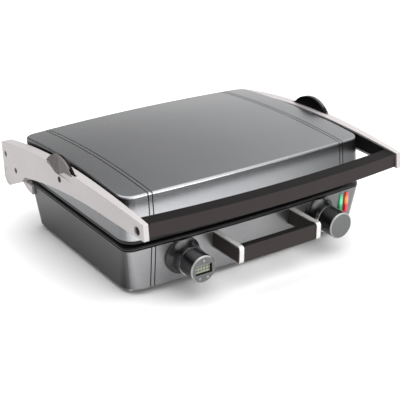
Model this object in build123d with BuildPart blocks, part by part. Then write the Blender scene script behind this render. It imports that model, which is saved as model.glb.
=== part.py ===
"""Panini press: a ridged contact grill with a floating lid carried by two cast arms.

Millimetres. +X is to the right seen from the front, -Y is the front, +Z is up.
The origin is on the table surface, under the middle of the closed press.
"""
import os
from math import cos, radians, sin

from build123d import *

os.makedirs("parts", exist_ok=True)

# ---------------------------------------------------------------- driving dimensions
FEET = 8.0                # height of the rubber feet
WALL = 1.2                # sheet thickness of the base and the lid

BASE_TOP = 64.9           # upper edge of the base housing
BASE_HALF = 188.0         # half width of the base at its upper edge
BASE_FRONT = -119.5       # front of the base at its corners, upper edge
BASE_REAR = 147.5         # rear of the base at its corners, upper edge
BOWS = (7.0, 5.0)         # how far the front and the rear bulge out in the middle
BASE_DRAFT = 4.7          # how far each side of the base leans in at the bottom
BASE_CORNER = 13.5        # plan radius of the base's corners, upper edge
BASE_FOOT_CORNER = 24.0   # and at the bottom
SHEET_SEAM = 0.03         # gap between the base's four sheets at the corners

LID_BOTTOM = 78.8         # lower edge of the lid housing
LID_HALF = 188.8          # half width of the lid at its lower edge
LID_FRONT = -119.5        # front of the lid at its corners, lower edge
LID_REAR = 152.0          # rear of the lid at its corners, lower edge
LID_TOP_HALF = 186.5      # the same three at the upper edge
LID_TOP_FRONT = -111.6
LID_TOP_REAR = 163.6
LID_TOP_BOWS = (9.0, 6.5)
LID_CORNER = 20.0         # plan radius of the lid's corners, lower edge
LID_TOP_CORNER = 17.0     # and upper edge
LID_EDGE_R = 3.0          # rounding where the lid's walls meet its top
LID_LOFT_TOP = 146.0      # height where the lid's walls end, above the crown
CREST_Y = -8.0            # highest line of the crown
CREST_Z = 141.1
CROWN_LONG = 1450.0       # crown radius seen from the side
CROWN_WIDE = 6500.0       # crown radius seen from the front

GROOVES = (147.4, 153.0)  # distances of the two decorative grooves from the middle
GROOVE_WIDTH = 1.3
GROOVE_DEPTH = 0.85

TRIM_LOW = (66.4, 68.2)   # heights of the light trim ring on the base
TRIM_HIGH = (76.0, 77.6)  # and on the lid
LIP_INSET = 2.1           # how far the dark lips beside the trim rings stand back
PLATE_LOW = 69.2          # upper face of the lower grill plate's rim
PLATE_HIGH = 73.8         # lower face of the upper grill plate's rim

PIVOT_Y = 171.5           # hinge axis of the arms
PIVOT_Z = 69.8
PIN_R = 4.0
RUNNING = 0.05            # radial running clearance of pins and shafts

ARM_INNER = 192.0         # inner face of the arms
REAR_REACH = 188.3        # rearmost point of the arms
ARM_SKIN = 2.6            # wall thickness of the arm castings
LEVER_Y = 12.5            # axis of the half-moon levers
LEVER_Z = 120.5
LEVER_TOP = 152.5
LID_PIN_Z = 116.0         # the lid's side pins when the lid rests low
FLOAT = 12.0              # how far the lid floats up between the arms

BAR_HALF = 191.6          # half length of the handle bar
BAR_FRONT = -177.8        # front ridge of the handle bar at its ends
BAR_BOW = REAR_REACH + BAR_FRONT
BAR_BOTTOM = 109.6
BAR_TOP = 129.4

KNOB_X = 109.3            # distance of both front controls from the middle
KNOB_Z = 43.4
KNOB_R = 18.1
KNOB_FACE = -171.0        # front of the silver faces
KNOB_SEAM = (-140.2, -145.4)   # rear and front of the silver rings on the pedestals
WINDOW = (24.0, 12.6)     # display window in the timer's face
BUTTON_R = 2.2
BUTTON_SPOTS = {"top": (0.0, 11.6), "left": (-5.7, -11.5), "right": (5.7, -11.5)}

LAMP_X = {"green": 150.9, "red": 161.0}
LAMP_SIZE = (5.4, 30.0)
LAMP_Z = 46.6
LAMP_BACK = -116.5

CARRY_HALF = 64.2         # outer faces of the carry handle's side pieces
CARRY_WIDTH = 6.6
CARRY_FRONT = -182.6
CARRY_BOTTOM = 41.2
CARRY_TOP = 65.0

TRAY = (116.0, 130.0, 17.0)   # drip tray: depth along X, width and height
TRAY_BOTTOM = 11.0
TRAY_Y = 5.0
TRAY_FACE = BASE_HALF - 1.0   # outer face of the tray's front wall, pushed in


# ---------------------------------------------------------------- shared shapes
def plan(half, front, rear, corner, inset=0.0, bows=BOWS):
    """Sketch of the press's plan shape: straight sides, bowed front and rear, round corners."""
    side, low, high = half - inset, front + inset, rear - inset
    with BuildSketch(mode=Mode.PRIVATE) as shape:
        with BuildLine():
            ThreePointArc((-side, low), (0, low - bows[0]), (side, low))
            Line((side, low), (side, high))
            ThreePointArc((side, high), (0, high + bows[1]), (-side, high))
            Line((-side, high), (-side, low))
        make_face()
        fillet(shape.vertices(), radius=max(corner - inset, 3.0))
    return shape.sketch


def base_plan(inset=0.0):
    """Plan of the base's upper edge."""
    return plan(BASE_HALF, BASE_FRONT, BASE_REAR, BASE_CORNER, inset)


def lid_plan(inset=0.0):
    """Plan of the lid's lower edge."""
    return plan(LID_HALF, LID_FRONT, LID_REAR, LID_CORNER, inset)


def base_block(inset, bottom, top):
    """Drafted solid of the base between two heights, set in by `inset` all round."""
    lean = BASE_DRAFT / (BASE_TOP - FEET)
    with BuildPart(mode=Mode.PRIVATE) as block:
        for height in (bottom, top):
            drop = BASE_TOP - height
            swell = (BASE_FOOT_CORNER - BASE_CORNER) / (BASE_TOP - FEET) * drop
            with BuildSketch(Plane.XY.offset(height)):
                corner = BASE_CORNER + swell + lean * drop
                add(plan(BASE_HALF, BASE_FRONT, BASE_REAR, corner, inset + lean * drop))
        loft(ruled=True)
    return block.part


def crown_cut(drop):
    """Solid under the lid's double-curved crown, lowered by `drop`."""
    half_angle = 7.5
    angle = radians(half_angle)
    centre = (0, CREST_Y, CREST_Z - CROWN_LONG)
    depth = 110.0
    edge = 200.0
    side_drop = edge**2 / (2 * CROWN_WIDE)
    reach = CROWN_LONG - drop
    section = Plane(origin=centre, x_dir=(1, 0, 0), z_dir=(0, -cos(angle), -sin(angle)))
    with BuildPart(mode=Mode.PRIVATE) as cap:
        with BuildSketch(section):
            with BuildLine():
                ThreePointArc((-edge, reach - side_drop), (0, reach), (edge, reach - side_drop))
                Line((edge, reach - side_drop), (edge, reach - depth))
                Line((edge, reach - depth), (-edge, reach - depth))
                Line((-edge, reach - depth), (-edge, reach - side_drop))
            make_face()
        revolve(axis=Axis(centre, (-1, 0, 0)), revolution_arc=2 * half_angle)
    return cap.part


def lid_block(inset, edge_radius=0.0):
    """Solid of the lid housing, set in by `inset` on its sides and its top."""
    with BuildPart(mode=Mode.PRIVATE) as block:
        with BuildSketch(Plane.XY.offset(LID_BOTTOM)):
            add(lid_plan(inset))
        with BuildSketch(Plane.XY.offset(LID_LOFT_TOP)):
            add(plan(LID_TOP_HALF, LID_TOP_FRONT, LID_TOP_REAR, LID_TOP_CORNER, inset, LID_TOP_BOWS))
        loft(ruled=True)
        add(crown_cut(inset), mode=Mode.INTERSECT)
        if edge_radius:
            rim = block.edges().filter_by(lambda edge: edge.center().Z > LID_PIN_Z)
            fillet(rim, radius=edge_radius)
    return block.part


def turned(x, points):
    """Solid turned from a closed outline of (radius, y) points about a control's axis."""
    with BuildPart(mode=Mode.PRIVATE) as body:
        with BuildSketch(Plane.XY.offset(KNOB_Z)):
            with BuildLine():
                Polyline(*[(x + radius, y) for radius, y in points], close=True)
            make_face()
        revolve(axis=Axis((x, 0, KNOB_Z), (0, 1, 0)))
    return body.part


def save(part, name):
    """Label a finished piece and write it as a STEP file."""
    part.label = name
    export_step(part, f"parts/{name}.step")


def save_both(part, name):
    """Write a right-hand piece and its mirrored left-hand twin."""
    save(mirror(part, about=Plane.YZ), f"{name}_left")
    save(part, f"{name}_right")


def front_plane(y):
    """Plane facing the front at depth y, with local X and Y along the row's X and Z."""
    return Plane(origin=(0, y, 0), x_dir=(1, 0, 0), z_dir=(0, -1, 0))


def side_plane(x):
    """Plane facing +X at x, with local X and Y along the row's Y and Z."""
    return Plane(origin=(x, 0, 0), x_dir=(0, 1, 0), z_dir=(1, 0, 0))


# ---------------------------------------------------------------- base housing
PEDESTAL_R = 25.0
NECK_R = 17.0
NOTCH = (14.0, 30.0, 21.7)                             # openings for the hinge brackets
HINGE_NOTCHES = [(-184.5, 146, 61.45), (184.5, 146, 61.45)]
CORNERS = [(side * BASE_HALF, y, side * turn)
           for side in (-1, 1) for y, turn in ((BASE_FRONT, 45), (BASE_REAR, -45))]

with BuildPart() as base_grooves:
    with Locations(*[(-x, BASE_FRONT, (FEET + BASE_TOP) / 2) for x in GROOVES]):
        Box(GROOVE_WIDTH, 30, BASE_TOP)
    add(base_block(GROOVE_DEPTH, 0, BASE_TOP + 20), mode=Mode.SUBTRACT)

with BuildPart() as base_shell:
    add(base_block(0, FEET, BASE_TOP))
    add(base_block(WALL, FEET - 1, BASE_TOP + 1), mode=Mode.SUBTRACT)
    add(base_grooves.part, mode=Mode.SUBTRACT)
    with BuildSketch(front_plane(-60)):
        with Locations((-KNOB_X, KNOB_Z), (KNOB_X, KNOB_Z)):
            Circle(NECK_R + 0.1)
        with Locations(*[(x, LAMP_Z) for x in LAMP_X.values()]):
            SlotOverall(LAMP_SIZE[1] + 0.4, LAMP_SIZE[0] + 0.4, rotation=90)
        for x in (-CARRY_HALF + CARRY_WIDTH / 2, CARRY_HALF - CARRY_WIDTH / 2):
            with Locations((x, (CARRY_BOTTOM + CARRY_TOP) / 2)):
                Circle(2.6)
    extrude(amount=80, mode=Mode.SUBTRACT)
    with Locations((TRAY_FACE, TRAY_Y, TRAY_BOTTOM + TRAY[2] / 2)):
        Box(30, TRAY[1] + 1.2, TRAY[2] + 1.2, mode=Mode.SUBTRACT)
    with Locations((120, BASE_REAR, 30)):
        Cylinder(6.2, 40, rotation=(90, 0, 0), mode=Mode.SUBTRACT)
    with Locations(*HINGE_NOTCHES):
        Box(*NOTCH, mode=Mode.SUBTRACT)
    # the four sheets meet in the middle of the corners
    for x, y, turn in CORNERS:
        with Locations((x, y, BASE_TOP / 2)):
            Box(SHEET_SEAM, 40, 2 * BASE_TOP, rotation=(0, 0, turn), mode=Mode.SUBTRACT)
save(base_shell.part, "base_shell")

COVER_TOP = FEET + 2.5
POSTS = [(-174, -106), (174, -106), (-150, 138), (150, 138)]
BRACKET_BOLTS = [(x, y) for x in (-170, 170) for y in (112, 127)]
with BuildPart() as bottom_cover:
    with BuildSketch(Plane.XY.offset(FEET)):
        add(base_plan(BASE_DRAFT + WALL + 0.4))
    extrude(amount=COVER_TOP - FEET)
    add(base_block(WALL + 0.3, FEET, COVER_TOP), mode=Mode.INTERSECT)
    with Locations(*[(x, -20, FEET) for x in range(-120, 121, 16)]):
        Box(4, 70, 10, mode=Mode.SUBTRACT)
    with Locations(*[(x, y, FEET) for x, y in POSTS]):
        Cylinder(2.1, 10, mode=Mode.SUBTRACT)
    with Locations(*[(x, y, FEET) for x, y in BRACKET_BOLTS]):
        Cylinder(1.9, 10, mode=Mode.SUBTRACT)
save(bottom_cover.part, "bottom_cover")

with BuildPart() as cover_screws:
    with Locations(*[(x, y, FEET - 0.9) for x, y in POSTS]):
        Cylinder(3.6, 1.8)
    with Locations(*[(x, y, FEET + 4) for x, y in POSTS]):
        Cylinder(1.9, 8)
save(cover_screws.part, "cover_screws")

with BuildPart() as feet:
    with Locations(*[(x, y) for x in (-150, 150) for y in (-92, 112)]):
        Cone(10, 12, FEET, align=(Align.CENTER, Align.CENTER, Align.MIN))
save(feet.part, "feet")

with BuildPart() as base_frame:
    with BuildSketch(Plane.XY.offset(58)):
        add(base_plan(WALL + 0.7))
        add(base_plan(9), mode=Mode.SUBTRACT)
    extrude(amount=BASE_TOP + 0.1 - 58)
    with BuildSketch(Plane.XY.offset(BASE_TOP + 0.1)):
        add(base_plan(LIP_INSET))
        add(base_plan(9), mode=Mode.SUBTRACT)
    extrude(amount=TRIM_LOW[0] - BASE_TOP - 0.1)
    with Locations(*[(x, y, (COVER_TOP + 60) / 2) for x, y in POSTS]):
        Cylinder(5, 59.8 - COVER_TOP)
    add(base_block(WALL + 0.3, FEET, BASE_TOP + 2), mode=Mode.INTERSECT)
    with Locations(*[(x, y, COVER_TOP) for x, y in POSTS]):
        Cylinder(1.9, 20, mode=Mode.SUBTRACT)
    with Locations(*HINGE_NOTCHES):
        Box(*NOTCH, mode=Mode.SUBTRACT)
    with Locations((-KNOB_X, BASE_FRONT, KNOB_Z), (KNOB_X, BASE_FRONT, KNOB_Z)):
        Cylinder(NECK_R + 0.6, 40, rotation=(90, 0, 0), mode=Mode.SUBTRACT)
    with Locations((sum(LAMP_X.values()) / 2, BASE_FRONT, LAMP_Z)):
        Box(24, 22, LAMP_SIZE[1] + 3.2, mode=Mode.SUBTRACT)
save(base_frame.part, "base_frame")

with BuildPart() as base_trim:
    with BuildSketch(Plane.XY.offset(TRIM_LOW[0])):
        add(base_plan(0.1))
        add(base_plan(8), mode=Mode.SUBTRACT)
    extrude(amount=TRIM_LOW[1] - TRIM_LOW[0])
    fillet(base_trim.faces().sort_by(Axis.Z)[-1].outer_wire().edges(), radius=0.5)
save(base_trim.part, "base_trim")

# ---------------------------------------------------------------- grill plates
RIB_PITCH = 11.0
RIB_COUNT = 31
RIB_LENGTH = 222.0
RIB_HEIGHT = 3.4
WELL_INSET = 13.0

with BuildPart() as lower_plate:
    with BuildSketch(Plane.XY.offset(TRIM_LOW[1])):
        add(base_plan(1.2))
    extrude(amount=PLATE_LOW - TRIM_LOW[1])
    with BuildSketch(Plane.XY.offset(62.0)):
        add(base_plan(WELL_INSET - 2.5))
    extrude(amount=PLATE_LOW - 62.0)
    with BuildSketch(Plane.XY.offset(65.0)):
        add(base_plan(WELL_INSET))
    extrude(amount=6, mode=Mode.SUBTRACT)
    with BuildSketch(Plane.XY.offset(64.9)):
        with Locations((0, 8)):
            with GridLocations(RIB_PITCH, 1, RIB_COUNT, 1):
                RectangleRounded(4.2, RIB_LENGTH, 2.0)
    extrude(amount=RIB_HEIGHT + 0.5, taper=12)
    with Locations((0, 128.5, 64)):
        Box(30, 6, 12, mode=Mode.SUBTRACT)
save(lower_plate.part, "lower_plate")

with BuildPart() as upper_plate:
    with BuildSketch(Plane.XY.offset(PLATE_HIGH)):
        add(lid_plan(1.4))
    extrude(amount=TRIM_HIGH[0] - PLATE_HIGH)
    with BuildSketch(Plane.XY.offset(PLATE_HIGH)):
        add(lid_plan(WELL_INSET - 2.5))
    extrude(amount=7.2)
    with BuildSketch(Plane.XY.offset(PLATE_HIGH - 1)):
        add(lid_plan(WELL_INSET))
    extrude(amount=5.2, mode=Mode.SUBTRACT)
    with BuildSketch(Plane.XY.offset(PLATE_HIGH + 4.3)):
        with Locations((0, 12)):
            with GridLocations(RIB_PITCH, 1, RIB_COUNT, 1):
                RectangleRounded(4.2, RIB_LENGTH, 2.0)
    extrude(amount=-(RIB_HEIGHT + 0.5), taper=12)
save(upper_plate.part, "upper_plate")


def heater_path(height, rear):
    """Route of a tubular element: two long U turns with its ends at the rear."""
    half = [(50, 75), (50, -80), (150, -80), (150, rear)]
    corners = [(-x, y) for x, y in reversed(half)] + half
    return FilletPolyline(*[(x, y, height) for x, y in corners], radius=24)


for name, height in (("lower_heater", 57.0), ("upper_heater", 86.0)):
    with BuildPart() as heater:
        with BuildLine() as route:
            heater_path(height, 108)
        with BuildSketch(Plane(origin=route.line @ 0, z_dir=route.line % 0)):
            Circle(3.4)
        sweep()
    save(heater.part, name)

with BuildPart() as lower_reflector:
    with BuildSketch(Plane.XY.offset(46)):
        with Locations((0, 12)):
            RectangleRounded(340, 204, 18)
    extrude(amount=8)
    with BuildSketch(Plane.XY.offset(46.8)):
        with Locations((0, 12)):
            RectangleRounded(338.4, 202.4, 17.2)
    extrude(amount=10, mode=Mode.SUBTRACT)
save(lower_reflector.part, "lower_reflector")

with BuildPart() as upper_reflector:
    with BuildSketch(Plane.XY.offset(91)):
        with Locations((0, 12)):
            RectangleRounded(336, 226, 18)
    extrude(amount=8)
    with BuildSketch(Plane.XY.offset(89)):
        with Locations((0, 12)):
            RectangleRounded(334.4, 224.4, 17.2)
    extrude(amount=9.2, mode=Mode.SUBTRACT)
save(upper_reflector.part, "upper_reflector")

# ---------------------------------------------------------------- drip tray
with BuildPart() as drip_tray:
    with Locations((TRAY_FACE - TRAY[0] / 2, TRAY_Y, TRAY_BOTTOM + TRAY[2] / 2)):
        Box(*TRAY)
    fillet(drip_tray.edges().filter_by(Axis.Z), radius=4)
    with Locations((TRAY_FACE - 2.4 - (TRAY[0] - 4.4) / 2, TRAY_Y, TRAY_BOTTOM + 2 + TRAY[2] / 2)):
        Box(TRAY[0] - 4.4, TRAY[1] - 4.8, TRAY[2], mode=Mode.SUBTRACT)
    with Locations((TRAY_FACE + 2.5, TRAY_Y, TRAY_BOTTOM + 13.4)):
        Box(7, 60, 3)
save(drip_tray.part, "drip_tray")

# ---------------------------------------------------------------- electrical pieces in the base
with BuildPart() as cord_gland:
    with Locations((120, BASE_REAR, 30)):
        Cylinder(6.0, 22, rotation=(90, 0, 0))
        with Locations((0, 3.2, 0)):
            Cylinder(9.0, 4, rotation=(90, 0, 0))
        Cylinder(3.6, 40, rotation=(90, 0, 0), mode=Mode.SUBTRACT)
save(cord_gland.part, "cord_gland")

with BuildPart() as terminal_block:
    with Locations((135, 92, 17.8)):
        Box(34, 18, 14)
    with Locations(*[(135 + 10 * i, 92, 24.8) for i in (-1, 0, 1)]):
        Cylinder(2.6, 6, mode=Mode.SUBTRACT)
save(terminal_block.part, "terminal_block")

SHAFT_R = 3.0
SHAFT_FRONT = KNOB_FACE + 2.0
SHAFT_REAR = -93.0
with BuildPart() as thermostat_body:
    with Locations((KNOB_X, -103, KNOB_Z)):
        Box(34, 14, 24)
        with Locations((0, -12, 0)):
            Cylinder(5.5, 12, rotation=(90, 0, 0))
        Cylinder(SHAFT_R + RUNNING, 60, rotation=(90, 0, 0), mode=Mode.SUBTRACT)
save(thermostat_body.part, "thermostat_body")

with BuildPart() as thermostat_shaft:
    with Locations((KNOB_X, (SHAFT_FRONT + SHAFT_REAR) / 2, KNOB_Z)):
        Cylinder(SHAFT_R, SHAFT_REAR - SHAFT_FRONT, rotation=(90, 0, 0))
save(thermostat_shaft.part, "thermostat_shaft")

# ---------------------------------------------------------------- front controls
PEDESTAL_TOP = 65.9       # the flared foot is trimmed just under the trim ring
BORE_R = 14.0
for x, name in ((-KNOB_X, "timer_pedestal"), (KNOB_X, "thermostat_pedestal")):
    with BuildPart() as pedestal:
        with BuildSketch(Plane.XY.offset(KNOB_Z)):
            with BuildLine():
                foot = (x + PEDESTAL_R, -125.2)
                shoulder = (x + 19.2, KNOB_SEAM[0])
                Polyline((x, KNOB_SEAM[0]), (x, -116), (x + PEDESTAL_R, -116), foot)
                Spline(foot, (x + 21.6, -129.2), (x + 19.7, -134.4), shoulder)
                Line(shoulder, (x, KNOB_SEAM[0]))
            make_face()
        revolve(axis=Axis((x, 0, KNOB_Z), (0, 1, 0)))
        add(base_block(-0.1, FEET - 5, BASE_TOP + 10), mode=Mode.SUBTRACT)
        with Locations((x, -125, PEDESTAL_TOP + 10)):
            Box(70, 40, 20, mode=Mode.SUBTRACT)
        with Locations((x, -118, KNOB_Z)):
            Cylinder(NECK_R, 14, rotation=(90, 0, 0))
            Cylinder(BORE_R, 80, rotation=(90, 0, 0), mode=Mode.SUBTRACT)
    save(pedestal.part, name)

SEAM_FRONT = KNOB_SEAM[1]
with BuildPart() as seam_rings:
    for x in (-KNOB_X, KNOB_X):
        add(turned(x, [(BORE_R, KNOB_SEAM[0]), (19.2, KNOB_SEAM[0]), (19.2, SEAM_FRONT + 0.6),
                       (18.6, SEAM_FRONT), (BORE_R, SEAM_FRONT)]))
save(seam_rings.part, "seam_rings")

FACE_BACK = KNOB_FACE + 2.0
KNOB_REAR = SEAM_FRONT - 0.35
FACE_PROFILE = [(0, FACE_BACK), (KNOB_R, FACE_BACK), (KNOB_R, KNOB_FACE + 1.2),
                (KNOB_R - 1.5, KNOB_FACE), (0, KNOB_FACE)]

with BuildPart() as timer_housing:
    add(turned(-KNOB_X, [(13.8, -118), (13.8, SEAM_FRONT), (KNOB_R, SEAM_FRONT), (KNOB_R, FACE_BACK),
                         (16.2, FACE_BACK), (16.2, -149), (11.5, -149), (11.5, -118)]))
save(timer_housing.part, "timer_housing")

with BuildPart() as timer_face:
    add(turned(-KNOB_X, FACE_PROFILE))
    with BuildSketch(front_plane(FACE_BACK + 1)):
        with Locations((-KNOB_X, KNOB_Z)):
            RectangleRounded(*WINDOW, 0.8)
            with Locations(*BUTTON_SPOTS.values()):
                Circle(BUTTON_R + 0.35)
    extrude(amount=6, mode=Mode.SUBTRACT)
save(timer_face.part, "timer_face")

with BuildPart() as timer_bezel:
    with Locations((-KNOB_X, FACE_BACK + 1.4, KNOB_Z)):
        Box(WINDOW[0] + 3, 2.6, WINDOW[1] + 3)
    with Locations((-KNOB_X, FACE_BACK, KNOB_Z)):
        Box(WINDOW[0] - 3.0, 8, WINDOW[1] - 2.2, mode=Mode.SUBTRACT)
save(timer_bezel.part, "timer_bezel")

with BuildPart() as timer_display:
    with Locations((-KNOB_X, FACE_BACK + 1.6, KNOB_Z)):
        Box(WINDOW[0] - 3.4, 1.6, WINDOW[1] - 2.6)
save(timer_display.part, "timer_display")

with BuildPart() as timer_board:
    add(turned(-KNOB_X, [(0, FACE_BACK + 5.6), (15.8, FACE_BACK + 5.6), (15.8, FACE_BACK + 7.2),
                         (0, FACE_BACK + 7.2)]))
    with Locations((-KNOB_X, FACE_BACK + 10, KNOB_Z)):
        Box(12, 5.6, 8)
save(timer_board.part, "timer_board")

for spot, (dx, dz) in BUTTON_SPOTS.items():
    with BuildPart() as button:
        with BuildSketch(front_plane(FACE_BACK + 3.2)):
            with Locations((dx - KNOB_X, KNOB_Z + dz)):
                Circle(BUTTON_R)
        extrude(amount=5.6)
        fillet(button.faces().sort_by(Axis.Y)[0].edges(), radius=0.5)
    save(button.part, f"timer_button_{spot}")

with BuildPart() as thermostat_knob:
    add(turned(KNOB_X, [(SHAFT_R, -150), (7, -150), (7, -152), (KNOB_R - 2, -152), (KNOB_R - 2, KNOB_REAR),
                        (KNOB_R, KNOB_REAR), (KNOB_R, FACE_BACK), (SHAFT_R, FACE_BACK)]))
save(thermostat_knob.part, "thermostat_knob")

with BuildPart() as thermostat_cap:
    add(turned(KNOB_X, FACE_PROFILE))
save(thermostat_cap.part, "thermostat_cap")

for colour, x in LAMP_X.items():
    with BuildPart() as lamp:
        with BuildSketch(front_plane(LAMP_BACK)):
            with Locations((x, LAMP_Z)):
                SlotOverall(LAMP_SIZE[1], LAMP_SIZE[0], rotation=90)
        extrude(amount=6.4)
        fillet(lamp.faces().sort_by(Axis.Y)[0].edges(), radius=0.9)
    save(lamp.part, f"lamp_{colour}")

with BuildPart() as lamp_holder:
    with Locations((sum(LAMP_X.values()) / 2, LAMP_BACK + 2.4, LAMP_Z)):
        Box(22, 4.8, LAMP_SIZE[1] + 2)
    with Locations((sum(LAMP_X.values()) / 2, LAMP_BACK + 7.3, LAMP_Z)):
        Box(12, 5, 20)
save(lamp_holder.part, "lamp_holder")

# ---------------------------------------------------------------- carry handle on the front
PLATE_X = CARRY_HALF - CARRY_WIDTH / 2
BAND = 1.7
CARRY_ROOT = -120.0
CARRY_NOSE = 4.0


def carry_outline(inset):
    """Side outline of a carry handle side piece, rounded at its two front corners."""
    with BuildSketch(mode=Mode.PRIVATE) as outline:
        with BuildLine():
            low, high, nose = CARRY_BOTTOM + inset, CARRY_TOP - inset, CARRY_FRONT + inset
            radius = CARRY_NOSE - inset
            FilletPolyline((CARRY_ROOT, low), (nose, low), (nose, high), (CARRY_ROOT, high), radius=radius)
            Line((CARRY_ROOT, high), (CARRY_ROOT, low))
        make_face()
    return outline.sketch


with BuildPart() as carry_sides:
    with BuildSketch(side_plane(PLATE_X - CARRY_WIDTH / 2 + 0.1)):
        add(carry_outline(BAND))
    extrude(amount=CARRY_WIDTH - 0.2)
    add(base_block(0, FEET, BASE_TOP + 2), mode=Mode.SUBTRACT)
    with BuildSketch(front_plane(CARRY_ROOT - 8)):
        with Locations((PLATE_X, (CARRY_BOTTOM + CARRY_TOP) / 2)):
            Circle(2.4)
    extrude(amount=-14)
    mirror(about=Plane.YZ)
save(carry_sides.part, "carry_handle_sides")

with BuildPart() as carry_bands:
    with BuildSketch(side_plane(PLATE_X - CARRY_WIDTH / 2)):
        add(carry_outline(0))
        add(carry_outline(BAND), mode=Mode.SUBTRACT)
    extrude(amount=CARRY_WIDTH)
    add(base_block(0, FEET, BASE_TOP + 2), mode=Mode.SUBTRACT)
    mirror(about=Plane.YZ)
save(carry_bands.part, "carry_handle_bands")

with BuildPart() as carry_bar:
    with Locations((0, CARRY_FRONT + 1.2 + 5, (CARRY_BOTTOM + CARRY_TOP) / 2)):
        Box(2 * (CARRY_HALF - CARRY_WIDTH), 10, CARRY_TOP - CARRY_BOTTOM - 1.2)
    fillet(carry_bar.edges().filter_by(Axis.X), radius=1.6)
save(carry_bar.part, "carry_handle_bar")

# ---------------------------------------------------------------- rear hinge
BRACKET_X = (178.6, 191.4)
with BuildPart() as hinge_bracket:
    with Locations((BRACKET_X[0] + 1.5, 119.5, (COVER_TOP + 57) / 2)):
        Box(3, 28, 56.8 - COVER_TOP)
    with Locations((170.8, 119.5, COVER_TOP + 1.6)):
        Box(21.6, 28, 3)
    add(base_block(WALL + 0.4, FEET, BASE_TOP), mode=Mode.INTERSECT)
    with BuildSketch(side_plane(BRACKET_X[0])):
        with BuildLine():
            Polyline((131.5, 51.5), (146, 53.5), (152.5, 56), (158, 59.5), (164, 62.5))
            Polyline((164, 62.5), (164, 70.6), (131.5, 70.6), (131.5, 51.5))
        make_face()
        with Locations((PIVOT_Y, PIVOT_Z)):
            Circle(11.0)
    extrude(amount=BRACKET_X[1] - BRACKET_X[0])
    with Locations((185, 138, 70)):
        Box(14, 22, 9.6, mode=Mode.SUBTRACT)
    with Locations(*[(x, y, COVER_TOP) for x, y in BRACKET_BOLTS if x > 0]):
        Cylinder(1.7, 20, mode=Mode.SUBTRACT)
    with BuildSketch(side_plane(170)):
        with Locations((PIVOT_Y, PIVOT_Z)):
            Circle(PIN_R)
    extrude(amount=30, mode=Mode.SUBTRACT)
    fillet(hinge_bracket.faces().sort_by(Axis.X)[-1].outer_wire().edges(), radius=1.0)
save_both(hinge_bracket.part, "hinge_bracket")

with BuildPart() as bracket_bolts:
    with Locations(*[(x, y, COVER_TOP + 3.1) for x, y in BRACKET_BOLTS]):
        Cylinder(1.7, 3.6 + COVER_TOP - FEET, align=(Align.CENTER, Align.CENTER, Align.MAX))
        Cylinder(3.4, 2.2, align=(Align.CENTER, Align.CENTER, Align.MIN))
save(bracket_bolts.part, "bracket_bolts")

with BuildPart() as hinge_pins:
    with BuildSketch(side_plane(BRACKET_X[0] - 1.5)):
        with Locations((PIVOT_Y, PIVOT_Z)):
            Circle(PIN_R)
    extrude(amount=202 - BRACKET_X[0] + 1.5)
    with BuildSketch(side_plane(BRACKET_X[0] - 4)):
        with Locations((PIVOT_Y, PIVOT_Z)):
            Circle(7)
    extrude(amount=3.8)
    mirror(about=Plane.YZ)
save(hinge_pins.part, "hinge_pins")

# ---------------------------------------------------------------- arms
def arm_outline(inset=0.0):
    """Side outline of an arm, set in by `inset`, in the Y-Z plane."""
    with BuildSketch(mode=Mode.PRIVATE) as outline:
        with BuildLine():
            ThreePointArc((-179.6, 130.2), (-90, 136.2), (-15, 137.4))
            ThreePointArc((-15, 137.4), (88, 131.6), (REAR_REACH, 116.0))
            Line((REAR_REACH, 116.0), (184.9, 70.5))
            ThreePointArc((184.9, 70.5), (179.4, 58.9), (168.0, 56.8))
            Line((168.0, 56.8), (126.0, 76.5))
            Line((126.0, 76.5), (117.5, 86.2))
            ThreePointArc((117.5, 86.2), (25, 103.6), (-75, 110.8))
            Line((-75, 110.8), (-181.8, 109.8))
            Line((-181.8, 109.8), (-179.6, 130.2))
        make_face()
        if inset:
            offset(amount=-inset, mode=Mode.REPLACE)
    return outline.sketch


def arm_slab(inner, skin):
    """Plan solid between the arm's flat inner face and its bulged outer face less `skin`."""
    with BuildPart(mode=Mode.PRIVATE) as slab:
        with BuildSketch(Plane.XY.offset(40)):
            with BuildLine():
                ThreePointArc((198.6 - skin, -190), (206.4 - skin, 0), (207 - skin, 195))
                Polyline((207 - skin, 195), (inner, 195), (inner, -190), (198.6 - skin, -190))
            make_face()
        extrude(amount=110)
    return slab.part


HANDLE_SCREW = (-167.4, 118.5)
ARM_HOLES = [(175.9, 101.5), (144.7, 86.8)]
LINER = 1.8
SLOT_BOTTOM = LID_PIN_Z - 3.6
SLOT_TOP = LID_PIN_Z + FLOAT + 3.6
PIVOT_CAP_R = 11.6
LEVER_PLATE = (201.0, 204.2)      # faces of the lever's black plate
GRIP = (206.2, 207.6)             # faces of the lever's grip
POCKET = (200.6, 204.6)           # space in the arm that the plate turns in
POCKET_R = 42.5
POCKET_FLOOR = 113.6
RECESS_X = 205.9                  # shallow seat of the grip in the arm's outer face

with BuildPart() as arm_core:
    with BuildSketch(side_plane(ARM_INNER - 1)):
        add(arm_outline(ARM_SKIN))
    extrude(amount=20)
    add(arm_slab(ARM_INNER - 1, ARM_SKIN), mode=Mode.INTERSECT)

with BuildPart() as arm_bosses:
    for (y, z), radius in (((PIVOT_Y, PIVOT_Z), 9.0), (HANDLE_SCREW, 8.0), (ARM_HOLES[0], 6.0),
                           (ARM_HOLES[1], 6.0)):
        with BuildSketch(side_plane(ARM_INNER + LINER + 0.1)):
            with Locations((y, z)):
                Circle(radius)
        extrude(amount=20)
    add(arm_slab(ARM_INNER, 1.0), mode=Mode.INTERSECT)

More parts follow.
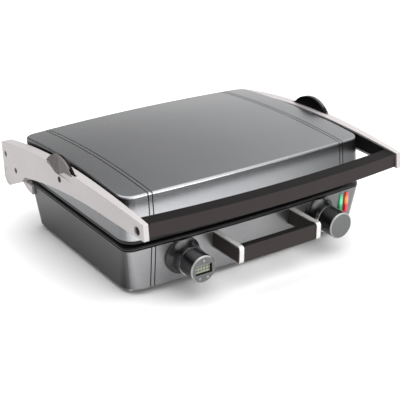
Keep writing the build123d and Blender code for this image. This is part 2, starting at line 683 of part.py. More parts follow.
with BuildPart() as arm:
    with BuildSketch(side_plane(ARM_INNER)):
        add(arm_outline())
    extrude(amount=20)
    add(arm_slab(ARM_INNER, 0), mode=Mode.INTERSECT)
    add(arm_core.part, mode=Mode.SUBTRACT)
    add(arm_bosses.part)
    # hinge bore, cap seat, screw recesses
    for (y, z), radius, start in (((PIVOT_Y, PIVOT_Z), PIN_R + RUNNING, ARM_INNER - 1),
                                  ((PIVOT_Y, PIVOT_Z), PIVOT_CAP_R + 0.1, 205.2),
                                  (HANDLE_SCREW, 2.6, ARM_INNER - 1), (HANDLE_SCREW, 5.6, 196.4),
                                  (ARM_HOLES[0], 1.8, ARM_INNER - 1), (ARM_HOLES[0], 4.1, 203.5),
                                  (ARM_HOLES[1], 1.8, ARM_INNER - 1), (ARM_HOLES[1], 4.1, 203.5),
                                  ((LEVER_Y, LEVER_Z), 2.0, POCKET[1] - 2),
                                  ((LEVER_Y, LEVER_Z), 4.1, RECESS_X)):
        with BuildSketch(side_plane(start)):
            with Locations((y, z)):
                Circle(radius)
        extrude(amount=25, mode=Mode.SUBTRACT)
    # pocket and slot that the lever's plate turns in, and the shallow seat of its grip
    with BuildSketch(side_plane(POCKET[0])):
        with Locations((LEVER_Y, LEVER_Z)):
            Circle(POCKET_R)
        with Locations((LEVER_Y, POCKET_FLOOR - POCKET_R)):
            Rectangle(3 * POCKET_R, 2 * POCKET_R, mode=Mode.SUBTRACT)
    extrude(amount=POCKET[1] - POCKET[0], mode=Mode.SUBTRACT)
    with BuildSketch(side_plane(RECESS_X)):
        with BuildLine():
            Polyline((52.5, 141), (-30, 141), (-29, 128), (-10, 127.6), (4, 127), (20, 126.8), (28, 128.5))
            Polyline((28, 128.5), (34, 131.5), (47, 134.6), (52.5, 137), (52.5, 141))
        make_face()
    extrude(amount=20, mode=Mode.SUBTRACT)
save_both(arm.part, "arm")

with BuildPart() as arm_liner:
    with BuildSketch(side_plane(ARM_INNER)):
        add(arm_outline(ARM_SKIN + 0.2))
        with Locations((PIVOT_Y, PIVOT_Z)):
            Circle(PIN_R + 1.0, mode=Mode.SUBTRACT)
        with Locations((LEVER_Y, (SLOT_BOTTOM + SLOT_TOP) / 2)):
            SlotOverall(SLOT_TOP - SLOT_BOTTOM, 7.2, rotation=90, mode=Mode.SUBTRACT)
        with Locations(HANDLE_SCREW):
            Circle(8.2, mode=Mode.SUBTRACT)
    extrude(amount=LINER)
save_both(arm_liner.part, "arm_liner")

with BuildPart() as pivot_caps:
    with BuildSketch(side_plane(205.4)):
        with Locations((PIVOT_Y, PIVOT_Z)):
            Circle(PIVOT_CAP_R)
    extrude(amount=1.5)
    mirror(about=Plane.YZ)
save(pivot_caps.part, "pivot_caps")

with BuildPart() as arm_screws:
    for (y, z), head, shank, start in ((ARM_HOLES[0], 203.6, 1.7, 195), (ARM_HOLES[1], 203.6, 1.7, 195),
                                       (HANDLE_SCREW, 196.5, 2.5, 180)):
        with BuildSketch(side_plane(head)):
            with Locations((y, z)):
                Circle(2.1 * shank)
        extrude(amount=1.6)
        with BuildSketch(side_plane(start)):
            with Locations((y, z)):
                Circle(shank)
        extrude(amount=head - start + 0.2)
    mirror(about=Plane.YZ)
save(arm_screws.part, "arm_screws")

BAR_DEPTH = 20.0
with BuildPart() as handle_bar:
    with BuildSketch(Plane.XY.offset(BAR_BOTTOM - 2)):
        with BuildLine():
            ThreePointArc((-BAR_HALF, BAR_FRONT), (0, BAR_FRONT - BAR_BOW), (BAR_HALF, BAR_FRONT))
            Line((BAR_HALF, BAR_FRONT), (BAR_HALF, BAR_FRONT + BAR_DEPTH))
            ThreePointArc((BAR_HALF, BAR_FRONT + BAR_DEPTH), (0, BAR_FRONT - BAR_BOW + BAR_DEPTH),
                          (-BAR_HALF, BAR_FRONT + BAR_DEPTH))
            Line((-BAR_HALF, BAR_FRONT + BAR_DEPTH), (-BAR_HALF, BAR_FRONT))
        make_face()
    extrude(amount=BAR_TOP - BAR_BOTTOM + 2)
    with BuildSketch(Plane.XY.offset(BAR_BOTTOM - 3)):
        Rectangle(500, 500)
    extrude(amount=3, mode=Mode.SUBTRACT)
    rear_top = handle_bar.edges().group_by(Axis.Z)[-1].sort_by(Axis.Y)[-1]
    chamfer(rear_top, length=3.0, length2=6.0)
    fillet(handle_bar.edges().group_by(Axis.Z)[0].sort_by(Axis.Y)[0], radius=3.0)
    for x in (-BAR_HALF, BAR_HALF):
        with Locations((x, *HANDLE_SCREW)):
            Cylinder(2.5, 26, rotation=(0, 90, 0), mode=Mode.SUBTRACT)
save(handle_bar.part, "handle_bar")

# ---------------------------------------------------------------- half-moon levers
LEVER_ARC_R = 45.0
LEVER_HUB = 5.4
ARC_CENTRE_Z = LEVER_TOP - LEVER_ARC_R
CHORD_Z = 133.6


def on_arc(z, side):
    """Point of the half-moon's arc at height z, on its rear (1) or front (-1) half."""
    return (LEVER_Y + side * (LEVER_ARC_R**2 - (z - ARC_CENTRE_Z) ** 2) ** 0.5, z)


with BuildPart() as lever_plate:
    with BuildSketch(side_plane(LEVER_PLATE[0])):
        with BuildLine():
            ThreePointArc(on_arc(CHORD_Z, -1), (LEVER_Y, LEVER_TOP), on_arc(CHORD_Z, 1))
            Polyline(on_arc(CHORD_Z, 1), (LEVER_Y + 4, LEVER_Z - 4.4), (LEVER_Y - 4, LEVER_Z - 4.4),
                     on_arc(CHORD_Z, -1))
        make_face()
        with Locations((LEVER_Y, LEVER_Z)):
            Circle(LEVER_HUB)
            Circle(2.0 + RUNNING, mode=Mode.SUBTRACT)
    extrude(amount=LEVER_PLATE[1] - LEVER_PLATE[0])
save_both(lever_plate.part, "lever_plate")

with BuildPart() as lever_pins:
    for start, end, radius in ((POCKET[0] - 1.0, POCKET[0] - 0.1, 3.4),
                               (POCKET[0] - 0.1, RECESS_X + 0.1, 2.0),
                               (RECESS_X + 0.05, RECESS_X + 0.85, 4.0)):
        with BuildSketch(side_plane(start)):
            with Locations((LEVER_Y, LEVER_Z)):
                Circle(radius)
        extrude(amount=end - start)
    mirror(about=Plane.YZ)
save(lever_pins.part, "lever_pins")

GRIP_RIBS = 9
GRIP_TIPS = ((-22.5, 136.6), (46.0, 135.8))
BRIDGE_Z = 138.2          # the grip's bridge to the plate stays above the arm as the lever turns
BRIDGE_FRONT = (-14.0, 143.84)
with BuildPart() as lever_grip:
    with BuildSketch(side_plane(GRIP[0])):
        with BuildLine():
            ThreePointArc(GRIP_TIPS[0], (LEVER_Y, LEVER_TOP), GRIP_TIPS[1])
            Spline(GRIP_TIPS[1], (31.5, 133.2), (25, 129.2), (16.9, 127.9), (8.4, 129.8), (-0.4, 135.3))
            Line((-0.4, 135.3), GRIP_TIPS[0])
        make_face()
    extrude(amount=GRIP[1] - GRIP[0])
    with BuildSketch(side_plane(LEVER_PLATE[1])):
        with BuildLine():
            ThreePointArc(on_arc(BRIDGE_Z, 1), (LEVER_Y, LEVER_TOP), BRIDGE_FRONT)
            Polyline(BRIDGE_FRONT, (LEVER_Y, BRIDGE_Z), on_arc(BRIDGE_Z, 1))
        make_face()
    extrude(amount=GRIP[0] - LEVER_PLATE[1])
    for i in range(GRIP_RIBS):
        with Locations((GRIP[1], 12 + 3.6 * i, 140)):
            Box(1.2, 1.0, 40, mode=Mode.SUBTRACT)
save_both(lever_grip.part, "lever_grip")

# ---------------------------------------------------------------- floating lid suspension
BLOCK_X = (194.2, 198.2)
LID_PIN_R = 3.0
with BuildPart() as slide_blocks:
    with Locations(((BLOCK_X[0] + BLOCK_X[1]) / 2, LEVER_Y, LID_PIN_Z)):
        Box(BLOCK_X[1] - BLOCK_X[0], 16, 8.4)
        Cylinder(LID_PIN_R + RUNNING, 20, rotation=(0, 90, 0), mode=Mode.SUBTRACT)
    mirror(about=Plane.YZ)
save(slide_blocks.part, "slide_blocks")

with BuildPart() as lid_pins:
    with BuildSketch(side_plane(180)):
        with Locations((LEVER_Y, LID_PIN_Z)):
            Circle(LID_PIN_R)
    extrude(amount=BLOCK_X[1] - 0.4 - 180)
    with BuildSketch(side_plane(178)):
        with Locations((LEVER_Y, LID_PIN_Z)):
            Circle(6)
    extrude(amount=4)
    mirror(about=Plane.YZ)
save(lid_pins.part, "lid_pins")

# ---------------------------------------------------------------- lid
with BuildPart() as lid_grooves:
    for x in (*GROOVES, *[-x for x in GROOVES]):
        with Locations((x, 20, LID_BOTTOM + 40)):
            Box(GROOVE_WIDTH, 320, 100)
    add(lid_block(GROOVE_DEPTH, LID_EDGE_R - GROOVE_DEPTH), mode=Mode.SUBTRACT)

with BuildPart() as lid_shell:
    add(lid_block(0, LID_EDGE_R))
    add(lid_block(WALL + 0.6), mode=Mode.SUBTRACT)
    add(lid_grooves.part, mode=Mode.SUBTRACT)
    with Locations((0, LEVER_Y, LID_PIN_Z)):
        Cylinder(LID_PIN_R + 0.1, 400, rotation=(0, 90, 0), mode=Mode.SUBTRACT)
save(lid_shell.part, "lid_shell")

with BuildPart() as lid_frame:
    with BuildSketch(Plane.XY.offset(TRIM_HIGH[1])):
        add(lid_plan(LIP_INSET))
        add(lid_plan(9), mode=Mode.SUBTRACT)
    extrude(amount=LID_BOTTOM - 0.1 - TRIM_HIGH[1])
    with BuildSketch(Plane.XY.offset(LID_BOTTOM - 0.1)):
        add(lid_plan(3.4))
        add(lid_plan(9), mode=Mode.SUBTRACT)
    extrude(amount=8)
save(lid_frame.part, "lid_frame")

with BuildPart() as lid_trim:
    with BuildSketch(Plane.XY.offset(TRIM_HIGH[0])):
        add(lid_plan(0.1))
        add(lid_plan(8), mode=Mode.SUBTRACT)
    extrude(amount=TRIM_HIGH[1] - TRIM_HIGH[0])
    fillet(lid_trim.faces().sort_by(Axis.Z)[0].outer_wire().edges(), radius=0.5)
save(lid_trim.part, "lid_trim")
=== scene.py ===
"""Panini press: looks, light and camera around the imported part."""

import bpy
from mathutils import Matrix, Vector

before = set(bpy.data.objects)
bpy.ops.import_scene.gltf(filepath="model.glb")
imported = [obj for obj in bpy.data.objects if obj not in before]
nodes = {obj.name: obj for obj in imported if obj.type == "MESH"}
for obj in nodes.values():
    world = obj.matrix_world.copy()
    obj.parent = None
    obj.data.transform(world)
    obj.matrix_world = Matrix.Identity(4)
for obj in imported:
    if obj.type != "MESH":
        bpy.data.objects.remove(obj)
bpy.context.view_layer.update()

CAMERA_PLACE = Vector((-0.7575, -1.1234, 0.6571))
CAMERA_AIM = Vector((-0.02175, -0.0325, 0.0621))
LENS_MM = 96.5


# ---------------------------------------------------------------- node helpers
class Nodes:
    """Small wrapper that adds shader nodes and links them by name."""

    def __init__(self, name):
        self.material = bpy.data.materials.new(name)
        self.material.use_nodes = True
        self.tree = self.material.node_tree
        self.shader = self.tree.nodes["Principled BSDF"]
        coordinates = self.add("ShaderNodeTexCoord")
        self.place = coordinates.outputs["Object"]
        self.own_normal = coordinates.outputs["Normal"]

    def add(self, kind, **settings):
        node = self.tree.nodes.new(kind)
        for key, value in settings.items():
            setattr(node, key, value)
        return node

    def link(self, source, target):
        self.tree.links.new(source, target)

    def stretched(self, scale):
        """Object position multiplied along each axis."""
        node = self.add("ShaderNodeMapping")
        node.inputs["Scale"].default_value = scale
        self.link(self.place, node.inputs["Vector"])
        return node.outputs["Vector"]

    def noise(self, scale, detail=4.0, stretch=(1, 1, 1), roughness=0.55):
        node = self.add("ShaderNodeTexNoise")
        node.inputs["Scale"].default_value = scale
        node.inputs["Detail"].default_value = detail
        node.inputs["Roughness"].default_value = roughness
        self.link(self.stretched(stretch), node.inputs["Vector"])
        return node.outputs["Fac"]

    def flakes(self, scale):
        """Random value per small cell, for metallic paint."""
        node = self.add("ShaderNodeTexVoronoi")
        node.inputs["Scale"].default_value = scale
        self.link(self.place, node.inputs["Vector"])
        split = self.add("ShaderNodeSeparateColor")
        self.link(node.outputs["Color"], split.inputs["Color"])
        return split.outputs["Red"]

    def ramp(self, value, stops):
        """Colour ramp; stops are (position, rgb)."""
        node = self.add("ShaderNodeValToRGB")
        elements = node.color_ramp.elements
        while len(elements) < len(stops):
            elements.new(0.5)
        for element, (position, colour) in zip(elements, stops):
            element.position = position
            element.color = (*colour, 1.0)
        self.link(value, node.inputs["Fac"])
        return node.outputs["Color"]

    def remap(self, value, low, high, start=0.0, end=1.0):
        node = self.add("ShaderNodeMapRange")
        node.inputs["From Min"].default_value = low
        node.inputs["From Max"].default_value = high
        node.inputs["To Min"].default_value = start
        node.inputs["To Max"].default_value = end
        self.link(value, node.inputs["Value"])
        return node.outputs["Result"]

    def axis(self, name):
        """One coordinate of the object position, in metres."""
        node = self.add("ShaderNodeSeparateXYZ")
        self.link(self.place, node.inputs["Vector"])
        return node.outputs[name]

    def math(self, operation, first, second=None):
        """Maths node on two values, each a socket or a number."""
        node = self.add("ShaderNodeMath", operation=operation)
        for socket, value in zip(node.inputs, (first, second)):
            if isinstance(value, (int, float)):
                socket.default_value = value
            elif value is not None:
                self.link(value, socket)
        return node.outputs["Value"]

    def blend(self, factor, first, second, mode="MIX"):
        node = self.add("ShaderNodeMix", data_type="RGBA", blend_type=mode)
        sockets = (node.inputs["Factor"], node.inputs[6], node.inputs[7])
        for socket, value in zip(sockets, (factor, first, second)):
            if isinstance(value, (int, float)):
                socket.default_value = value
            elif isinstance(value, tuple):
                socket.default_value = (*value, 1.0)
            else:
                self.link(value, socket)
        return node.outputs[2]

    def bump(self, height, strength, distance, below=None):
        node = self.add("ShaderNodeBump")
        node.inputs["Strength"].default_value = strength
        node.inputs["Distance"].default_value = distance
        self.link(height, node.inputs["Height"])
        if below is not None:
            self.link(below, node.inputs["Normal"])
        return node.outputs["Normal"]

    def facing(self, name):
        """One component of the surface's own normal."""
        node = self.add("ShaderNodeSeparateXYZ")
        self.link(self.own_normal, node.inputs["Vector"])
        return node.outputs[name]

    def rounded(self, radius):
        """Normal with softened edges."""
        node = self.add("ShaderNodeBevel", samples=4)
        node.inputs["Radius"].default_value = radius
        return node.outputs["Normal"]

    def finish(self, colour=None, rough=None, normal=None, metallic=0.0, coat=0.0, specular=0.5):
        shader = self.shader
        shader.inputs["Metallic"].default_value = metallic
        shader.inputs["Coat Weight"].default_value = coat
        shader.inputs["Coat Roughness"].default_value = 0.08
        shader.inputs["Specular IOR Level"].default_value = specular
        if colour is not None:
            self.link(colour, shader.inputs["Base Color"])
        if rough is not None:
            self.link(rough, shader.inputs["Roughness"])
        if normal is not None:
            self.link(normal, shader.inputs["Normal"])
        return self.material


def shade(colour, amount):
    return tuple(min(1.0, channel * amount) for channel in colour)


def surface(name, colour, rough, metallic=0.0, spread=0.12, grain=900.0, stretch=(1, 1, 1), relief=0.00004,
            edge=0.0004, coat=0.0, cloud=14.0, specular=0.5, top=1.0):
    """General finish: cloudy tone, fine grain in colour, gloss and relief, and softened edges."""
    m = Nodes(name)
    fine = m.noise(grain, 3.0, stretch)
    broad = m.noise(cloud, 3.0)
    tone = m.ramp(fine, [(0.3, shade(colour, 1 - spread)), (0.7, shade(colour, 1 + spread))])
    clouds = m.ramp(broad, [(0.3, (0.93, 0.93, 0.93)), (0.7, (1.0, 1.0, 1.0))])
    tint = m.blend(1.0, tone, clouds, "MULTIPLY")
    # painted shade: faces that look upward take the colour times top, darker than the sides
    if top != 1.0:
        tint = m.blend(m.remap(m.facing("Z"), 0.3, 0.95), tint, shade(colour, top))
    gloss = m.remap(fine, 0.25, 0.75, rough * 0.88, min(1.0, rough * 1.14))
    base = m.rounded(edge) if edge else None
    normal = m.bump(fine, 0.35, relief, base)
    return m.finish(tint, gloss, normal, metallic, coat, specular)


def metal_paint(name, dark, light, rough, grooves_right, front_painted_light_and_shade, left_painted_shade):
    """Metallic paint with fine flakes that catch the light; shadow gathers in the decorative grooves.

    Light and shade are painted onto two walls: the front wall's tone runs from left to right as painted
    light and painted shade, the left wall's from its foot to its top edge as painted shade.
    """
    m = Nodes(name)
    flake = m.flakes(2600.0)
    broad = m.noise(9.0, 2.0)
    tone = m.ramp(flake, [(0.0, dark), (0.82, light), (1.0, shade(light, 1.15))])
    clouds = m.ramp(broad, [(0.3, (0.95, 0.95, 0.96)), (0.7, (1.0, 1.0, 1.0))])
    tint = m.blend(1.0, tone, clouds, "MULTIPLY")
    across = m.axis("X")
    # painted light and shade: the front wall's tone set by position across it, the left wall's painted shade
    # set by height
    walls = ((m.remap(m.facing("Y"), -0.6, -0.9), m.remap(across, -0.18, 0.18), front_painted_light_and_shade),
             (m.remap(m.facing("X"), -0.6, -0.9), m.remap(m.axis("Z"), 0.008, 0.065), left_painted_shade))
    for wall, along, painted_levels in walls:
        painted_light_levels = [(at, (level, level, level)) for at, level in painted_levels]
        painted_light_tint = m.blend(1.0, tint, m.ramp(along, painted_light_levels), "MULTIPLY")
        tint = m.blend(wall, tint, painted_light_tint)
    side = m.math("ABSOLUTE", across) if grooves_right else m.math("MULTIPLY", across, -1.0)
    front = 1.0 if grooves_right else m.remap(m.axis("Y"), -0.10, -0.09, 1.0, 0.0)
    for place in GROOVES:
        away = m.math("ABSOLUTE", m.math("SUBTRACT", side, place))
        line = m.remap(away, 0.00050, 0.00080, 1.0, 0.0)
        tint = m.blend(m.math("MULTIPLY", line, front), tint, (0.010, 0.010, 0.011))
    gloss = m.remap(flake, 0.0, 1.0, rough * 0.96, rough * 1.04)
    normal = m.bump(flake, 0.02, 0.000004, m.rounded(0.0006))
    return m.finish(tint, gloss, normal, 0.95)


def control_face(name, colour, rim):
    """Satin metal disc with fine turning marks and a bright bevelled rim."""
    m = Nodes(name)
    across = m.math("SUBTRACT", m.math("ABSOLUTE", m.axis("X")), KNOB_X)
    up = m.math("SUBTRACT", m.axis("Z"), KNOB_Z)
    radius = m.math("SQRT", m.math("ADD", m.math("MULTIPLY", across, across), m.math("MULTIPLY", up, up)))
    fine = m.noise(1700.0, 3.0)
    rings = m.math("SINE", m.math("MULTIPLY", radius, 24000.0))
    tone = m.ramp(fine, [(0.3, shade(colour, 0.80)), (0.7, shade(colour, 1.2))])
    tint = m.blend(m.remap(radius, 0.0163, 0.0168), tone, rim)
    gloss = m.remap(fine, 0.3, 0.7, 0.30, 0.42)
    normal = m.bump(rings, 0.10, 0.00001, m.bump(fine, 0.25, 0.00003, m.rounded(0.0004)))
    return m.finish(tint, gloss, normal, 1.0)


def ring_metal(name):
    """Bright ring on a pedestal: polished, with a brushed band around it. Its tone is a painted highlight,
    dark high on the ring and bright low on it and towards the middle of the front.
    """
    m = Nodes(name)
    fine = m.noise(1500.0, 3.0, (1, 0.1, 1))
    across = m.math("SUBTRACT", m.math("ABSOLUTE", m.axis("X")), KNOB_X)
    # painted highlight: the ring's tone follows this lean across it
    highlight_lean = m.math("ADD", m.math("MULTIPLY", across, -0.6), m.math("SUBTRACT", KNOB_Z, m.axis("Z")))
    painted_light_levels = [(0.0, (0.10, 0.10, 0.10)), (0.45, (0.50, 0.50, 0.49)), (0.8, (0.92, 0.92, 0.90))]
    tint = m.ramp(m.remap(highlight_lean, -0.008, 0.012), painted_light_levels)
    gloss = m.remap(fine, 0.3, 0.7, 0.18, 0.28)
    return m.finish(tint, gloss, m.bump(fine, 0.2, 0.00001, m.rounded(0.0004)), 1.0)


# ---------------------------------------------------------------- materials
GROOVES = (0.1474, 0.1530)      # distances of the decorative grooves from the middle
KNOB_X = 0.1093                 # centre of both front controls
KNOB_Z = 0.0434
LAMP_SPAN = (0.0316, 0.0616)    # lower and upper ends of the lamps
DIGIT_SPAN = (0.0400, 0.0468)   # lower and upper ends of the display's segments
DIGIT_PITCH = 0.0042
DIGIT_GAP = 0.0006
# painted light and shade: the lid front is painted bright on the left and dark at its right end, its left
# wall a little darker; the base front is painted bright on the left with a painted shadow of the thermostat
# knob, its left wall painted dark, darkest at its foot
lid_paint = metal_paint("lid_paint", (0.180, 0.182, 0.187), (0.212, 0.215, 0.220), 0.25, True,
                        ((0.0, 2.2), (0.5, 1.55), (0.8, 0.80), (1.0, 0.42)), ((0.0, 0.8), (1.0, 0.8)))
base_paint = metal_paint("base_paint", (0.160, 0.160, 0.163), (0.200, 0.200, 0.203), 0.34, False,
                         ((0.0, 1.9), (0.5, 1.7), (0.8, 0.7), (1.0, 1.0)), ((0.0, 0.22), (1.0, 0.42)))
# painted reflection: the trim steel is coloured near black for the dark surroundings it reflects
trim = surface("trim_steel", (0.045, 0.045, 0.046), 0.34, 1.0, 0.08, 500.0, (0.08, 1, 1))
arm_metal = surface("arm_metal", (0.43, 0.405, 0.405), 0.42, 0.45, 0.05, 1500.0, (1, 0.15, 1), 0.00003,
                    0.0009)
bright = surface("bright_metal", (0.62, 0.61, 0.59), 0.24, 0.7, 0.05, 1200.0, (1, 1, 0.2), 0.00001)
ring = ring_metal("ring_metal")
face_metal = control_face("face_metal", (0.14, 0.142, 0.144), (0.34, 0.34, 0.335))
button_metal = surface("button_metal", (0.30, 0.30, 0.30), 0.28, 1.0, 0.08, 1500.0)
black_gloss = surface("black_gloss", (0.004, 0.004, 0.005), 0.22, 0.0, 0.20, 1400.0, (1, 1, 1), 0.00001,
                      0.0006, specular=0.6)
black_matte = surface("black_matte", (0.004, 0.004, 0.004), 0.55, 0.0, 0.25, 1600.0, specular=0.15)
seam_black = surface("seam_black", (0.001, 0.001, 0.001), 0.60, 0.0, 0.25, 1500.0, specular=0.05)
nonstick = surface("nonstick", (0.008, 0.008, 0.009), 0.42, 0.0, 0.30, 2200.0, (1, 1, 1), 0.00006, 0.0006,
                   specular=0.3)
# painted shade: the handle's upward-facing faces are coloured at 0.15 of the rest
handle = surface("handle_plastic", (0.034, 0.029, 0.028), 0.55, 0.0, 0.10, 2400.0, (0.3, 1, 1), 0.00004,
                 0.0008, specular=0.05, top=0.15)
grip = surface("grip_plastic", (0.078, 0.064, 0.064), 0.50, 0.0, 0.12, 1800.0, (1, 1, 1), 0.00004, 0.0006)
lever_black = surface("lever_black", (0.001, 0.001, 0.001), 0.30, 0.0, 0.20, 1500.0, (1, 1, 1), 0.00002,
                      0.0007, specular=0.05)
rubber = surface("foot_rubber", (0.02, 0.02, 0.02), 0.75, 0.0, 0.25, 900.0)
cover = surface("cover_plastic", (0.035, 0.035, 0.036), 0.6, 0.0, 0.20, 1300.0)
steel = surface("pin_steel", (0.55, 0.55, 0.54), 0.30, 1.0, 0.10, 1100.0, (0.1, 1, 1))
heater = surface("heater_steel", (0.30, 0.27, 0.24), 0.40, 1.0, 0.22, 300.0)
foil = surface("reflector_sheet", (0.70, 0.70, 0.69), 0.26, 1.0, 0.08, 200.0)
enamel = surface("tray_enamel", (0.02, 0.02, 0.021), 0.22, 0.0, 0.20, 700.0, (1, 1, 1), 0.00002, 0.0006, 0.3)
inner = surface("inner_plastic", (0.62, 0.60, 0.54), 0.5, 0.0, 0.08, 800.0)
nylon = surface("slide_nylon", (0.05, 0.05, 0.05), 0.45, 0.0, 0.15, 900.0)
board = surface("circuit_board", (0.03, 0.16, 0.07), 0.4, 0.0, 0.25, 500.0)


def display_material():
    """Liquid crystal display: pale green ground with darker upright segments."""
    m = Nodes("display")
    digits = m.add("ShaderNodeTexBrick")
    digits.offset = 0.0
    digits.inputs["Scale"].default_value = 1.0
    digits.inputs["Brick Width"].default_value = DIGIT_PITCH
    digits.inputs["Row Height"].default_value = DIGIT_PITCH
    digits.inputs["Mortar Size"].default_value = DIGIT_GAP
    digits.inputs["Mortar Smooth"].default_value = 0.3
    digits.inputs["Color1"].default_value = (0.20, 0.22, 0.16, 1)
    digits.inputs["Color2"].default_value = (0.23, 0.25, 0.19, 1)
    digits.inputs["Mortar"].default_value = (0.05, 0.06, 0.04, 1)
    turn = m.add("ShaderNodeCombineXYZ")
    m.link(m.axis("X"), turn.inputs["X"])
    m.link(m.axis("Z"), turn.inputs["Y"])
    m.link(turn.outputs["Vector"], digits.inputs["Vector"])
    inside = m.remap(m.axis("Z"), DIGIT_SPAN[0] - DIGIT_GAP, DIGIT_SPAN[0])
    above = m.remap(m.axis("Z"), DIGIT_SPAN[1] + DIGIT_GAP, DIGIT_SPAN[1])
    window = m.math("MULTIPLY", inside, above)
    ground = m.ramp(m.noise(500.0), [(0.3, (0.20, 0.22, 0.16)), (0.7, (0.24, 0.26, 0.20))])
    tint = m.blend(window, ground, digits.outputs["Color"])
    gloss = m.remap(m.noise(900.0), 0.3, 0.7, 0.16, 0.24)
    return m.finish(tint, gloss, m.bump(m.noise(1500.0), 0.1, 0.00001), 0.0, 0.3)


def lamp_material(name, low, middle, high):
    """Coloured lens: darker ends, a lit middle."""
    m = Nodes(name)
    level = m.remap(m.axis("Z"), *LAMP_SPAN)
    wobble = m.noise(260.0, 2.0)
    mixed = m.add("ShaderNodeMath", operation="MULTIPLY_ADD")
    m.link(wobble, mixed.inputs[0])
    mixed.inputs[1].default_value = 0.16
    m.link(level, mixed.inputs[2])
    stops = [(0.10, low), (0.42, low), (0.62, middle), (0.80, middle), (1.0, high)]
    tint = m.ramp(mixed.outputs["Value"], stops)
    gloss = m.remap(wobble, 0.3, 0.7, 0.12, 0.22)
    m.link(tint, m.shader.inputs["Emission Color"])
    m.shader.inputs["Emission Strength"].default_value = 0.25
    return m.finish(tint, gloss, m.bump(m.noise(900.0), 0.1, 0.00001, m.rounded(0.0008)), 0.0, 0.4)


display = display_material()
lamp_green = lamp_material("lamp_green", (0.01, 0.17, 0.07), (0.08, 0.55, 0.28), (0.02, 0.28, 0.12))
lamp_red = lamp_material("lamp_red", (0.50, 0.008, 0.02), (0.95, 0.22, 0.06), (0.62, 0.015, 0.015))

FINISH = {
    lid_paint: ["lid_shell"],
    base_paint: ["base_shell"],
    trim: ["base_trim", "lid_trim"],
    seam_black: ["base_frame", "lid_frame"],
    cover: ["bottom_cover"],
    rubber: ["feet"],
    nonstick: ["lower_plate", "upper_plate"],
    heater: ["lower_heater", "upper_heater"],
    foil: ["lower_reflector", "upper_reflector"],
    enamel: ["drip_tray"],
    arm_metal: ["arm_left", "arm_right", "hinge_bracket_left", "hinge_bracket_right", "pivot_caps"],
    black_matte: ["arm_liner_left", "arm_liner_right", "timer_bezel", "cord_gland", "arm_screws",
                  "lever_pins"],
    handle: ["handle_bar", "carry_handle_bar", "carry_handle_sides"],
    bright: ["carry_handle_bands"],
    ring: ["seam_rings"],
    face_metal: ["timer_face", "thermostat_cap"],
    black_gloss: ["timer_pedestal", "thermostat_pedestal", "timer_housing", "thermostat_knob"],
    display: ["timer_display"],
    board: ["timer_board"],
    button_metal: ["timer_button_top", "timer_button_left", "timer_button_right"],
    lamp_green: ["lamp_green"],
    lamp_red: ["lamp_red"],
    inner: ["lamp_holder", "thermostat_body", "terminal_block"],
    lever_black: ["lever_plate_left", "lever_plate_right"],
    grip: ["lever_grip_left", "lever_grip_right"],
    nylon: ["slide_blocks"],
    steel: ["hinge_pins", "lid_pins", "thermostat_shaft", "bracket_bolts", "cover_screws"],
}
for material, names in FINISH.items():
    for name in names:
        mesh = nodes[name].data
        mesh.materials.clear()
        mesh.materials.append(material)

# ---------------------------------------------------------------- floor and light
bpy.context.scene.view_settings.view_transform = "Standard"
FLOOR_HALF = 14.0
floor_mesh = bpy.data.meshes.new("floor")
corners = [(-FLOOR_HALF, -FLOOR_HALF, 0), (FLOOR_HALF, -FLOOR_HALF, 0), (FLOOR_HALF, FLOOR_HALF, 0),
           (-FLOOR_HALF, FLOOR_HALF, 0)]
floor_mesh.from_pydata(corners, [], [(0, 1, 2, 3)])
floor = bpy.data.objects.new("floor", floor_mesh)
bpy.context.scene.collection.objects.link(floor)
floor_look = Nodes("floor")
floor_stops = [(0.3, (0.72, 0.72, 0.72)), (0.7, (0.735, 0.735, 0.735))]
floor_tint = floor_look.ramp(floor_look.noise(6.0, 3.0), floor_stops)
floor_gloss = floor_look.remap(floor_look.noise(40.0), 0.3, 0.7, 0.75, 0.85)
floor_mesh.materials.append(floor_look.finish(floor_tint, floor_gloss, None, 0.0, 0.0, 0.1))

world = bpy.data.worlds.new("studio")
bpy.context.scene.world = world
world.use_nodes = True
sky = world.node_tree


def sky_node(kind, operation=None, values=()):
    """World shader node whose inputs are sockets or plain values."""
    node = sky.nodes.new(kind)
    if operation:
        node.operation = operation
    for socket, value in zip(node.inputs, values):
        if isinstance(value, bpy.types.NodeSocket):
            sky.links.new(value, socket)
        elif value is not None:
            socket.default_value = value
    return node


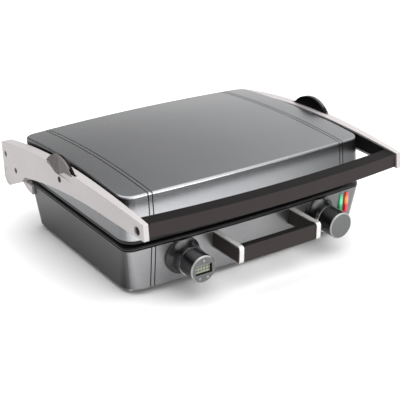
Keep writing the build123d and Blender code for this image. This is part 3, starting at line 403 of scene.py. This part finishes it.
# the studio's walls grow brighter to the right, the front and the horizon; a broad soft light hangs overhead
WALL_LEVEL, WALL_SLOPE = 1.30, (1.97, -1.33, -1.24)
direction = sky_node("ShaderNodeTexCoord").outputs["Generated"]
slope = sky_node("ShaderNodeVectorMath", "DOT_PRODUCT", (direction, WALL_SLOPE)).outputs["Value"]
wall = sky_node("ShaderNodeMath", "ADD", (slope, WALL_LEVEL)).outputs["Value"]
floored = sky_node("ShaderNodeMath", "MAXIMUM", (wall, 0.35)).outputs["Value"]
capped = sky_node("ShaderNodeMath", "MINIMUM", (floored, 1.6)).outputs["Value"]
height = sky_node("ShaderNodeSeparateXYZ", None, (direction,)).outputs["Z"]
ceiling = sky_node("ShaderNodeMapRange")
sky.links.new(height, ceiling.inputs["Value"])
for socket, value in (("From Min", 0.60), ("From Max", 0.85), ("To Min", 0.0), ("To Max", 2.2)):
    ceiling.inputs[socket].default_value = value
level = sky_node("ShaderNodeMath", "ADD", (capped, ceiling.outputs["Result"])).outputs["Value"]
sky.links.new(level, sky.nodes["Background"].inputs["Strength"])
sky.nodes["Background"].inputs["Color"].default_value = (1.0, 1.0, 1.0, 1.0)


def softbox(name, place, aim, width, height, power):
    light = bpy.data.lights.new(name, "AREA")
    light.shape = "RECTANGLE"
    light.size = width
    light.size_y = height
    light.energy = power
    lamp = bpy.data.objects.new(name, light)
    lamp.location = place
    lamp.rotation_euler = (Vector(aim) - Vector(place)).to_track_quat("-Z", "Y").to_euler()
    bpy.context.scene.collection.objects.link(lamp)
    return lamp


softbox("top_light", (0.1, 0.3, 2.2), (0.1, 0.2, 0), 2.4, 2.4, 20)
softbox("front_light", (0.45, -1.5, 0.30), (-0.1, -0.1, 0.09), 0.6, 0.5, 5)

# ---------------------------------------------------------------- camera
camera_data = bpy.data.cameras.new("camera")
camera_data.lens = LENS_MM
camera_data.sensor_width = 36.0
camera = bpy.data.objects.new("camera", camera_data)
camera.location = CAMERA_PLACE
camera.rotation_euler = (CAMERA_AIM - CAMERA_PLACE).to_track_quat("-Z", "Y").to_euler()
bpy.context.scene.collection.objects.link(camera)
bpy.context.scene.camera = camera
